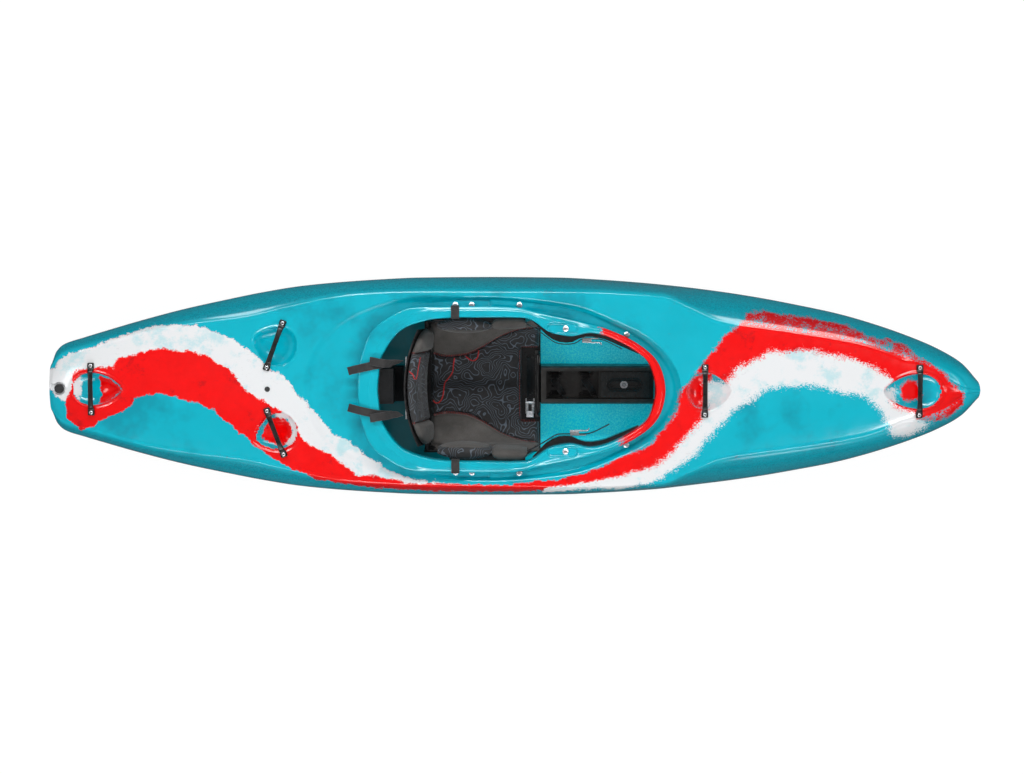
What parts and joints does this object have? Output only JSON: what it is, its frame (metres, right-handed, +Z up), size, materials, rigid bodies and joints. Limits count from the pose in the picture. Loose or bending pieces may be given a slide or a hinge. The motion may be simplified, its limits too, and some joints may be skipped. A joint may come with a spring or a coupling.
{
  "type": "whitewater kayak",
  "caption": "Rotomoulded whitewater kayak with a keyhole cockpit, padded seat, tilting backband, sliding thigh braces and footrests, centre pillars and deck grab handles.",
  "frame": {"origin": "on the ground under the keel, on the centreline, at half the hull's length", "axes": "+X towards the bow, +Y to port, +Z up through the deck"},
  "size_m": [2.72, 0.65, 0.3869],
  "materials": {
    "shell_plastic": "satin, turquoise with white and red streaks",
    "black_plastic": "satin",
    "brace_plastic": "gloss",
    "pillar_foam": "closed-cell foam",
    "seat_fabric": "woven over foam",
    "webbing": "woven",
    "bright_metal": "satin",
    "rail_aluminium": "anodised",
    "plug_rubber": "matte"
  },
  "bodies": {
    "boat": {"hull_shell": "shell_plastic", "stern_deck": "shell_plastic", "cockpit_deck": "shell_plastic", "bow_deck": "shell_plastic", "stern_handle": "black_plastic", "rear_handle_left": "black_plastic", "rear_handle_right": "black_plastic", "centre_handle": "black_plastic", "bow_handle": "black_plastic", "deck_rivet": "plug_rubber", "rear_pillar": "pillar_foam", "bow_pillar": "pillar_foam", "tray_pillar": "black_plastic", "pillar_cap": "black_plastic", "pillar_screw": "bright_metal", "tray_strap_rear": "webbing", "tray_strap_front": "webbing", "tray_buckle_rear": "black_plastic", "tray_buckle_front": "black_plastic", "seat_base": "pillar_foam", "seat_pan": "black_plastic", "seat_pad": "seat_fabric", "leg_lift_base": "bright_metal", "leg_lift_strap": "webbing", "seat_bolts_left": "bright_metal", "front_screw_left": "bright_metal", "hip_pad_left": "seat_fabric", "rim_strap_left": "webbing", "rear_strap_left": "webbing", "foot_rail_left": "rail_aluminium", "seat_bolts_right": "bright_metal", "front_screw_right": "bright_metal", "hip_pad_right": "seat_fabric", "rim_strap_right": "webbing", "rear_strap_right": "webbing", "foot_rail_right": "rail_aluminium"},
    "backband": {"backband_shell": "black_plastic", "backband_pad": "seat_fabric", "rear_buckle_left": "bright_metal", "rear_buckle_right": "bright_metal"},
    "leg_lift_lever": {"leg_lift_lever": "bright_metal"},
    "drain_plug": {"drain_plug": "plug_rubber"},
    "footrest_left": {"foot_plate_left": "black_plastic", "foot_pad_left": "pillar_foam"},
    "thigh_brace_left": {"thigh_brace_left": "brace_plastic", "thigh_screw_left": "bright_metal", "ratchet_base_left": "bright_metal", "ladder_strap_left": "webbing"},
    "ratchet_lever_left": {"ratchet_lever_left": "bright_metal"},
    "footrest_right": {"foot_plate_right": "black_plastic", "foot_pad_right": "pillar_foam"},
    "thigh_brace_right": {"thigh_brace_right": "brace_plastic", "thigh_screw_right": "bright_metal", "ratchet_base_right": "bright_metal", "ladder_strap_right": "webbing"},
    "ratchet_lever_right": {"ratchet_lever_right": "bright_metal"}
  },
  "joints": [
    {"name": "backband_tilt", "type": "hinge", "parent": "boat", "child": "backband", "pos_m": [-0.238, 0, 0.125], "axis": [0, 1, 0], "range_deg": [0, 25]},
    {"name": "leg_lift_open", "type": "hinge", "parent": "boat", "child": "leg_lift_lever", "pos_m": [0.05604, -0.058, 0.0724], "axis": [-1, 0, 0], "range_deg": [0, 70]},
    {"name": "drain_plug_out", "type": "slide", "parent": "boat", "child": "drain_plug", "axis": [0, 0, 1], "range_m": [0, 0.03]},
    {"name": "footrest_slide_left", "type": "slide", "parent": "boat", "child": "footrest_left", "axis": [0.9887, -0.1498, 0], "range_m": [-0.08, 0.11]},
    {"name": "thigh_brace_slide_left", "type": "slide", "parent": "boat", "child": "thigh_brace_left", "axis": [0.9976, 0, 0.0697], "range_m": [-0.015, 0.015]},
    {"name": "ratchet_open_left", "type": "hinge", "parent": "thigh_brace_left", "child": "ratchet_lever_left", "pos_m": [0.22003, 0.14036, 0.27726], "axis": [0, 0, -1], "range_deg": [0, 65]},
    {"name": "footrest_slide_right", "type": "slide", "parent": "boat", "child": "footrest_right", "axis": [0.9887, 0.1498, 0], "range_m": [-0.08, 0.11]},
    {"name": "thigh_brace_slide_right", "type": "slide", "parent": "boat", "child": "thigh_brace_right", "axis": [0.9976, 0, 0.0697], "range_m": [-0.015, 0.015]},
    {"name": "ratchet_open_right", "type": "hinge", "parent": "thigh_brace_right", "child": "ratchet_lever_right", "pos_m": [0.18503, -0.126, 0.27482], "axis": [0, 0, 1], "range_deg": [0, 65]}
  ]
}
